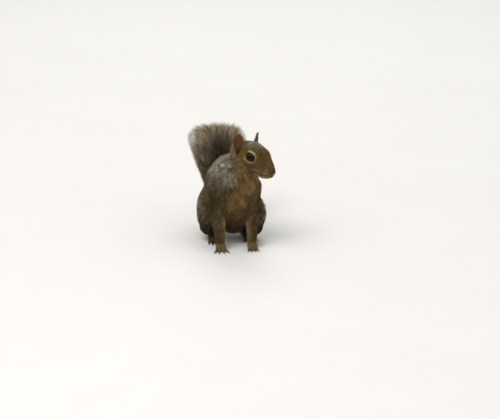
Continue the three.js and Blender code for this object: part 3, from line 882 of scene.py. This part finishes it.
# The colour of the dark marks, and of the painted shade laid with them
DARK_AND_PAINTED_SHADE = rgb(38, 26, 14)
FLESH_TONES = rgb(70, 41, 13), rgb(110, 66, 24)
# Colours of a tail hair from its root to its tip. The lighter ramp also carries a painted highlight on the
# tail's upper half
TAIL_HAIR = {
    "core": stops(
        *((0, 100, 80, 48), (0.35, 94, 78, 52), (0.6, 64, 56, 46)),
        *((0.86, 66, 58, 48), (0.94, 96, 84, 66), (1, 128, 115, 94)),
    ),
    "paler_and_highlight": stops(
        *((0, 116, 94, 58), (0.3, 146, 124, 84), (0.5, 120, 101, 68)),
        *((0.62, 104, 89, 63), (0.78, 170, 153, 121), (1, 206, 194, 167)),
    ),
    "edge": stops(
        *((0, 122, 104, 76), (0.35, 150, 134, 108), (0.52, 112, 99, 78), (0.62, 66, 58, 49)),
        *((0.73, 70, 63, 55), (0.8, 214, 210, 200), (1, 240, 238, 231)),
    ),
}
IRIS = stops((0, 5, 4, 4), (0.42, 6, 5, 5), (0.52, 26, 16, 10), (0.8, 22, 13, 8), (1, 9, 7, 6))


def layered(graph, grow, ramps):
    """The first ramp, with each other one laid over it by the weight of its name."""
    first, *marks = ramps
    colour = graph.ramp(grow, ramps[first])
    for mark in marks:
        colour = graph.mix(graph.weight(mark), colour, graph.ramp(grow, ramps[mark]))
    return colour


def hair_colour(graph, grow, seed):
    """The colour along a hair of the coat, by the skin's markings and its painted light and shade."""
    colour = graph.mix(graph.weight("dark_and_painted_shade"), layered(graph, grow, HAIR), DARK_AND_PAINTED_SHADE)
    return graph.toned(colour, seed, 1.45, 0.29)


def coat_material():
    graph = Graph("fur")
    seed = graph.weight("seed")
    spread = graph.math("MULTIPLY_ADD", seed, 0.5, -0.3)
    grow = graph.math("ADD", graph.weight("grow"), spread)
    colour = hair_colour(graph, grow, seed)
    return graph.finish(colour, roughness=0.65, specular=0.17)


def tail_material():
    graph = Graph("tail_fur")
    seed = graph.weight("seed")
    spread = graph.math("MULTIPLY_ADD", seed, 0.1, -0.05)
    grow = graph.math("MULTIPLY_ADD", graph.weight("grow"), graph.weight("reach"), spread)
    colour = graph.toned(layered(graph, grow, TAIL_HAIR), seed, 0.45, 0.78)
    return graph.finish(colour, roughness=0.6, specular=0.2)


def skin_material():
    graph = Graph("skin")
    speckle = graph.noise(2600, 3)
    grow = graph.math("MULTIPLY_ADD", speckle, 0.9, -0.05)
    colour = hair_colour(graph, grow, graph.noise(900))
    flesh = graph.mix(graph.noise(1400), *FLESH_TONES)
    colour = graph.mix(graph.weight("bare"), colour, flesh)
    # Dark marks and painted shade laid over the skin
    colour = graph.mix(graph.weight("dark_and_painted_shade"), colour, DARK_AND_PAINTED_SHADE)
    return graph.finish(colour, 0.7, 0.25, relief=speckle, strength=0.5, distance=0.3 * MM)


def eye_material():
    graph = Graph("eye")
    apart = graph.node("ShaderNodeSeparateXYZ", {0: graph.place()}).outputs
    squares = [graph.math("POWER", apart[k], 2.0) for k in (0, 1)]
    from_axis = graph.math("SQRT", graph.math("ADD", *squares))
    return graph.finish(graph.ramp(graph.math("DIVIDE", from_axis, EYE_RADIUS), IRIS), 0.04, 0.12)


def nose_material():
    graph = Graph("nose_leather")
    cells = graph.node("ShaderNodeTexVoronoi", {"Vector": graph.place(), "Scale": 2400.0})
    colour = graph.mix(graph.noise(500), rgb(44, 30, 18), rgb(76, 54, 32))
    relief = cells.outputs["Distance"]
    return graph.finish(colour, 0.55, 0.14, relief=relief, strength=0.35, distance=0.2 * MM)


def claw_material():
    graph = Graph("claw")
    streak = graph.noise(1500, 3)
    colour = graph.mix(graph.weight("grow"), rgb(62, 50, 42), rgb(30, 25, 23))
    colour = graph.mix(graph.math("MULTIPLY", streak, 0.3), colour, rgb(96, 80, 66))
    return graph.finish(colour, 0.35, 0.45, relief=streak, strength=0.15, distance=0.1 * MM)


def whisker_material():
    graph = Graph("whisker")
    colour = graph.mix(graph.weight("grow"), rgb(28, 24, 22), rgb(70, 62, 56))
    return graph.finish(colour, 0.4, 0.4)


# ---- Pieces ----
def add_piece(name, mesh, material, replaced=(), place=Matrix()):
    mesh.materials.clear()
    mesh.materials.append(material)
    put(mesh.polygons, "use_smooth", np.ones(len(mesh.polygons)), bool)
    piece = add_object(name, mesh)
    piece.matrix_world = place
    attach(piece, "root")
    if replaced:
        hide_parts(*replaced)


def add_skin():
    mesh, co, normal, edges, labels, hollows = make_skin()
    marks = markings_and_painted_light(co, normal, labels, edges, hollows)
    for key, values in zip(MARKS, marks.T):
        set_weight(mesh, key, values)
    add_piece("skin", mesh, skin_material(), FLESH + TAIL)
    return mesh, co, normal, edges, labels, hollows, marks


# The share of its tufts that each hollow of the skin lacks
BARENESS = {"mouth": 0.8, "ear": 0.9, "lining": 0.96, "toes": 0.7}


def coat_values(co, normal, edges, labels, hollows):
    """Length, width and depth of the tufts at each vertex of the skin, their density and their lie."""
    local = in_head(co)
    length, width, depth, density = tuft_size(co, labels).T
    for side in SIDES:
        rho = in_eye(co, side)[0]
        density = density * ease(rho, 1.1, 1.22)
        shorter = 1 - 0.6 * (1 - ease(rho, 1.2, 2.6))
        length, depth = length * shorter, depth * shorter
        width = width * (0.55 + 0.45 * shorter)
        near = bump(norm(local - EARS[side] + [0, 0, 9 * MM]), 9 * MM)
        length, depth = length * (1 - 0.45 * near), depth * (1 - 0.55 * near)
    pad = norm((local - in_head(centre("nose"))) / (NOSE_PAD + NOSE_MARGIN))
    density = density * (pad > 1)
    for hollow, share in BARENESS.items():
        density = density * (1 - share * hollows[hollow])
    behind = bump(norm(co - TAIL_PATH[0]), 24 * MM)
    length, depth = length * (1 - 0.5 * behind), depth * (1 - 0.4 * behind)
    density = density * ~are(labels, "tail")
    rounds = np.where(are(labels, "head"), 10, 70)
    soft = relaxed(np.stack([length, width, depth], 1), edges, rounds)
    lie = relaxed(lie_of(co, labels, normal), edges, 30)
    lie = unit(lie - normal * (lie * normal).sum(1, keepdims=True))
    return soft, density, lie


# Pieces of the coat: the kinds of node that each covers, and the side of the animal, 0 for both
COAT_PIECES = {
    "coat_head_left": (HEAD, 1),
    "coat_head_right": (HEAD, -1),
    "coat_trunk_left": (BODY, 1),
    "coat_trunk_right": (BODY, -1),
    "coat_forelegs": (FORELEG, 0),
    "coat_hind_leg_left": (HIND_LEG, 1),
    "coat_hind_leg_right": (HIND_LEG, -1),
}


def add_coat(mesh, co, normal, edges, labels, hollows, marks):
    mesh.calc_loop_triangles()
    triangles = get(mesh.loop_triangles, "vertices", 3, np.int32)
    soft, density, lie = coat_values(co, normal, edges, labels, hollows)
    density = density * (1 - 0.75 * marks[:, MARKS.index("bare")]) * (co[:, 2] > 0.4 * MM)
    material = coat_material()
    split = np.where(are(labels, *HEAD), in_head(co)[:, 0], co[:, 0] - MIDLINE)
    for name, (kinds, side) in COAT_PIECES.items():
        here = are(labels, *kinds)
        if side:
            here = here & (split * side >= 0)
        mine = triangles[here[triangles[:, 0]]]
        pick, read = scatter(mine, co, [co, normal, lie, soft, marks], density)
        root, up, way, size, mark = read
        each = (len(root), 1)
        up, way = unit(up), unit(way)
        length, width, depth = size.T[:, :, None]

        guard = rng.random(each) < GUARD_HAIRS
        length = length * rng.uniform(0.8, 1.15, each) * np.where(guard, 1.25, 1)
        lift = depth * rng.uniform(0.72, 1.02, each) + 0.15 * MM + np.where(guard, 0.16 * depth, 0)
        across = np.cross(up, way)
        way = unit(way + across * rng.normal(0, 0.16, each))
        sway = rng.normal(0, 0.14, each)
        start = root - up * np.minimum(0.3 * MM, 0.07 * length)
        middle = root + up * (lift * 0.86) + way * (length * 0.4)
        tip = root + up * (lift * rng.uniform(0.85, 1.08, each)) + way * (length * 0.95)

        # Neighbours lean together in locks, and sway together in long streaks down the coat
        lock = leader_of(root, TUFTS_TO_A_LOCK)
        fall = unit(way.mean(0))
        streak = leader_of(root - 0.62 * (root @ fall)[:, None] * fall, TUFTS_TO_A_STREAK)
        drawn = rng.uniform(0.1, 0.5, each)
        tip = tip + across * (length * 0.55 * sway[streak])
        tip = tip + (tip[lock] - tip) * drawn
        middle = middle + (middle[lock] - middle) * drawn * 0.4
        line = np.stack([start, middle, tip], 1)
        line[:, :, 2] = np.maximum(line[:, :, 2], 0.5 * MM)

        half = width * rng.uniform(0.75, 1.2, each) * np.where(guard, 0.6, 1) / 2
        names = np.array(KINDS)[labels[mine[pick][:, 0]]]
        uv = unwrapped(root, np.char.add(names, np.where(root[:, 0] > MIDLINE, "_l", "_r")))
        seed = rng.random(len(root))
        seed = 0.34 * seed + 0.33 * seed[lock] + 0.33 * seed[streak]
        weights = {"seed": seed, **dict(zip(MARKS, mark.T))}
        made = tufts(name, line, np.hstack([half * 0.85, half]), 0.55, up, uv, weights)
        add_piece(name, made, material)


def add_tail():
    """Locks that grow from the tail's core and spread to the reach of its hair. The fringe stands out to
    either side, with the whitest tips. The upper half of the tail is painted lighter as a highlight, which
    leaves its lower middle dark as painted shade."""
    n = TAIL_LOCKS
    fringe = rng.random(n) < TAIL_FRINGE_SHARE
    spread = np.linspace(0, 1, 60)
    often = np.cumsum(1 + 0.8 * bump(spread - 0.58, 0.16))
    end = np.interp(rng.random(n) * often[-1], often, spread + 0.03)
    turn = rng.uniform(0, 2 * math.pi, n)
    beside = rng.integers(0, 2, n) * math.pi + rng.normal(0, 0.36, n)
    turn = np.where(fringe, beside, turn)
    out = 1.08 - np.where(fringe, 0.32, 0.5) * rng.random(n) ** 1.5
    lean = rng.uniform(14, 24, n) * MM * (0.45 + 0.5 * out) / TAIL_LENGTH
    start = np.minimum(end - lean, TAIL_CORE["reach"])
    core = np.interp(start, [0, TAIL_CORE["reach"]], [TAIL_CORE["start"], TAIL_CORE["end"]]) * 0.8
    power = TAIL_SQUARENESS
    box = (np.abs(np.cos(turn)) ** power + np.abs(np.sin(turn)) ** power) ** (1 / power)

    def place(share, wide, thick):
        beyond = (share - np.clip(share, 0, 1))[:, None] * TAIL_LENGTH
        middle = tail_at(share, TAIL_PATH) + unit(tail_at(share, TAIL_WAY)) * beyond
        side = unit(tail_at(share, TAIL_SIDE)) * (wide * np.cos(turn) / box)[:, None]
        up = unit(tail_at(share, TAIL_UP)) * (thick * np.sin(turn) / box)[:, None]
        return middle + side + up

    wide, thick = tail_at(end, TAIL_WIDE) * out, tail_at(end, TAIL_THICK) * out
    knee = place(start + 0.4 * (end - start), wide * 0.74, thick * 0.74)
    share = np.array([0, 0.33, 0.68, 1.0])[:, None, None]
    line = arc(place(start, core, core), knee, place(end, wide, thick), share).transpose(1, 0, 2)
    line[:, 1:] += rng.normal(0, 0.55 * MM, (n, 1, 3)) * np.array([0.4, 0.8, 1.0])[:, None]
    half = rng.uniform(0.26, 0.48, n) * MM
    widths = np.stack([half * 0.8, half, half * 0.85], 1)

    seed = rng.random(n)
    beside = np.abs(np.cos(turn))
    edge = ease(beside, 0.74, 0.92) * ease(end, 0.46, 0.56)
    edge = np.maximum(edge, 0.6 * ease(end, 0.9, 1.0)) * (rng.random(n) < 0.9)
    # Lighter hair on the tail's sides, its own colour, and a painted highlight over its upper half where the
    # light from above falls
    paler_and_highlight = 0.8 * ease(beside, 0.25, 0.6) * ease(end, 0.2, 0.45) + 0.95 * ease(end, 0.47, 0.57)
    paler_and_highlight = np.clip(paler_and_highlight, 0, 1) * rng.uniform(0.45, 1, n)
    weights = {"seed": seed, "edge": edge, "paler_and_highlight": paler_and_highlight, "reach": out / 1.04}

    along = np.clip((start + 0.15) / 1.1, 0, 1)
    uv = PATCH + np.stack([turn / (2 * math.pi) % 1, along], 1) * (1 - 3 * PATCH)
    facing_way = unit(tail_at(start, TAIL_WAY))
    material = tail_material()
    bounds = [-1, *np.quantile(start, [1 / 3, 2 / 3]), 1]
    for name, low, high in zip(("lower", "middle", "upper"), bounds, bounds[1:]):
        name = f"tail_hair_{name}"
        here = (start >= low) & (start < high)
        mine = {key: values[here] for key, values in weights.items()}
        made = tufts(name, line[here], widths[here], 0.6, facing_way[here], uv[here], mine)
        add_piece(name, made, material)


def add_eyes():
    material = eye_material()
    for side in SIDES:
        bm = bmesh.new()
        bmesh.ops.create_uvsphere(bm, u_segments=48, v_segments=32, radius=EYE_RADIUS)
        for v in bm.verts:
            v.co.z *= 1 + CORNEA * max(v.co.z / EYE_RADIUS, 0) ** 4
        gaze = Vector(eye_axes(side)[0])
        place = Matrix.Translation(Vector(EYES[side])) @ gaze.to_track_quat("Z", "Y").to_matrix().to_4x4()
        name = f"eyeball_{side}"
        add_piece(name, mesh_of(bm, name), material, [f"eye_{side}"], place)


def add_nose():
    """The nose pad: a rounded wedge with comma-shaped nostrils and a groove down its middle."""
    bm = bmesh.new()
    bmesh.ops.create_icosphere(bm, subdivisions=5, radius=1)
    mesh = mesh_of(bm, "nose_pad")
    p = places(mesh)
    front = ease(-p[:, 1], 0, 0.7)
    dent = np.zeros(len(p))
    for s in SIDES.values():
        beside, below = p[:, 0] - s * 0.58, p[:, 2] + 0.12 + 0.35 * (p[:, 0] * s - 0.58)
        dent += 0.34 * bump(np.hypot(beside / 0.24, below / 0.2), 1) * front
    dent += 0.1 * bump(p[:, 0], 0.09) * front * (p[:, 2] < 0.35)
    p = p * (1 - dent)[:, None]
    p[:, 0] *= 1 - 0.22 * ease(-p[:, 2], 0, 1)
    put(mesh.vertices, "co", from_head(in_head(centre("nose")) + p * NOSE_PAD))
    add_piece("nose_pad", mesh, nose_material(), ["nose"])


def tubes(name, lines, radii, sides):
    """Closed tubes along the lines, in one mesh, with the weight grow from their roots to their tips."""
    bm = bmesh.new()
    for line in lines:
        add_tube(bm, line, radii, sides)
    mesh = mesh_of(bm, name)
    set_weight(mesh, "grow", np.tile(np.repeat(np.linspace(0, 1, len(radii)), sides), len(lines)))
    return mesh


def add_claws():
    """Curved claws, each from the root to the tip of its node."""
    share = np.linspace(0, 1, 9)
    radii = np.interp(share, *CLAW_RADII)
    lines = []
    for node, root in zip(CLAWS, CLAW_ROOTS):
        tip = points(node)[points(node)[:, 1].argmin()]
        root = root - (tip - root) * [0.25, 0.25, 0]
        knee = root * 0.45 + tip * 0.55 + np.array([0, 0, CLAW_ARCH])
        line = arc(root, knee, tip, share[:, None])
        line[:, 2] = np.maximum(line[:, 2], radii)
        lines.append(line)
    add_piece("claws", tubes("claws", lines, radii, 10), claw_material(), CLAWS)


def add_whiskers():
    """Three whiskers in each of four rows on either side of the muzzle, swept back."""
    share = np.linspace(0, 1, 8)[:, None]
    lines = []
    for s, row, k in itertools.product(SIDES.values(), range(4), range(3)):
        root = np.array([s * (4.6 + 1.2 * k), NOSE_TIP / MM + 4.5 + 2.3 * k, -8.6 - 1.3 * row]) * MM
        way = unit(np.array([s * (0.72 + 0.08 * k), 0.5 + 0.25 * k, 0.28 - 0.22 * row]))
        length = rng.uniform(*WHISKER_LENGTH)
        sag = np.array([0, 0.3, -0.24]) * length
        lines.append(from_head(root + way * length * share + sag * share**2))
    mesh = tubes("whiskers", lines, np.linspace(*WHISKER_RADII, len(share)), 5)
    add_piece("whiskers", mesh, whisker_material())


# ---- Studio ----
VIEW = {"azimuth": math.radians(-11), "elevation": math.radians(17), "width": 0.625, "lens": 250.0}
FEET_IN_VIEW = (-0.0175, -0.0506)  # the point between the forepaws, from the middle of the view
SENSOR = 36.0
LAMPS = {  # place, size across, power and colour
    "key": ((-0.8, -0.9, 1.9), 1.3, 27, (1.0, 0.97, 0.92)),
    "fill": ((1.5, -1.1, 0.9), 1.6, 2.5, (1.0, 0.98, 0.96)),
    "back": ((0.3, 1.4, 1.6), 1.2, 14, (1.0, 0.99, 0.96)),
}
LIT = Vector((0, 0, 0.06))  # what the lamps point at
SKY = {"Color": (0.92, 0.92, 0.92, 1), "Strength": 0.7}


def aim(item, way):
    item.rotation_mode = "QUATERNION"
    item.rotation_quaternion = Vector(way).to_track_quat("-Z", "Y")


def add_camera():
    a, e = VIEW["azimuth"], VIEW["elevation"]
    right = np.array([math.cos(a), math.sin(a), 0])
    up = np.array([-math.sin(a) * math.sin(e), math.cos(a) * math.sin(e), math.cos(e)])
    back = np.cross(right, up)
    feet = (centre("forefoot_left") + centre("forefoot_right")) / 2
    feet[2] = 0
    middle = feet - right * FEET_IN_VIEW[0] - up * FEET_IN_VIEW[1]
    data = bpy.data.cameras.new("camera")
    data.lens = VIEW["lens"]
    data.sensor_width = SENSOR
    data.clip_end = 50
    camera = add_object("camera", data)
    camera.location = middle + back * VIEW["width"] * data.lens / SENSOR
    aim(camera, -back)
    bpy.context.scene.camera = camera


def add_studio():
    bm = bmesh.new()
    bmesh.ops.create_grid(bm, x_segments=1, y_segments=1, size=6)
    mesh = mesh_of(bm, "floor")
    graph = Graph("floor_paint")
    tone = graph.mix(graph.noise(6, 3), (0.72, 0.71, 0.69, 1), (0.76, 0.75, 0.73, 1))
    mesh.materials.append(graph.finish(tone, 0.8, 0.2))
    add_object("floor", mesh)
    for name, (spot, size, power, colour) in LAMPS.items():
        data = bpy.data.lights.new(name, "AREA")
        data.shape = "DISK"
        data.size, data.energy, data.color = size, power, colour
        lamp = add_object(name, data)
        lamp.location = spot
        aim(lamp, LIT - Vector(spot))
    world = bpy.data.worlds.new("studio")
    world.use_nodes = True
    for key, value in SKY.items():
        world.node_tree.nodes["Background"].inputs[key].default_value = value
    bpy.context.scene.world = world
    bpy.context.scene.view_settings.view_transform = "Standard"


add_camera()
add_studio()
skin = add_skin()
add_coat(*skin)
add_tail()
add_eyes()
add_nose()
add_claws()
add_whiskers()
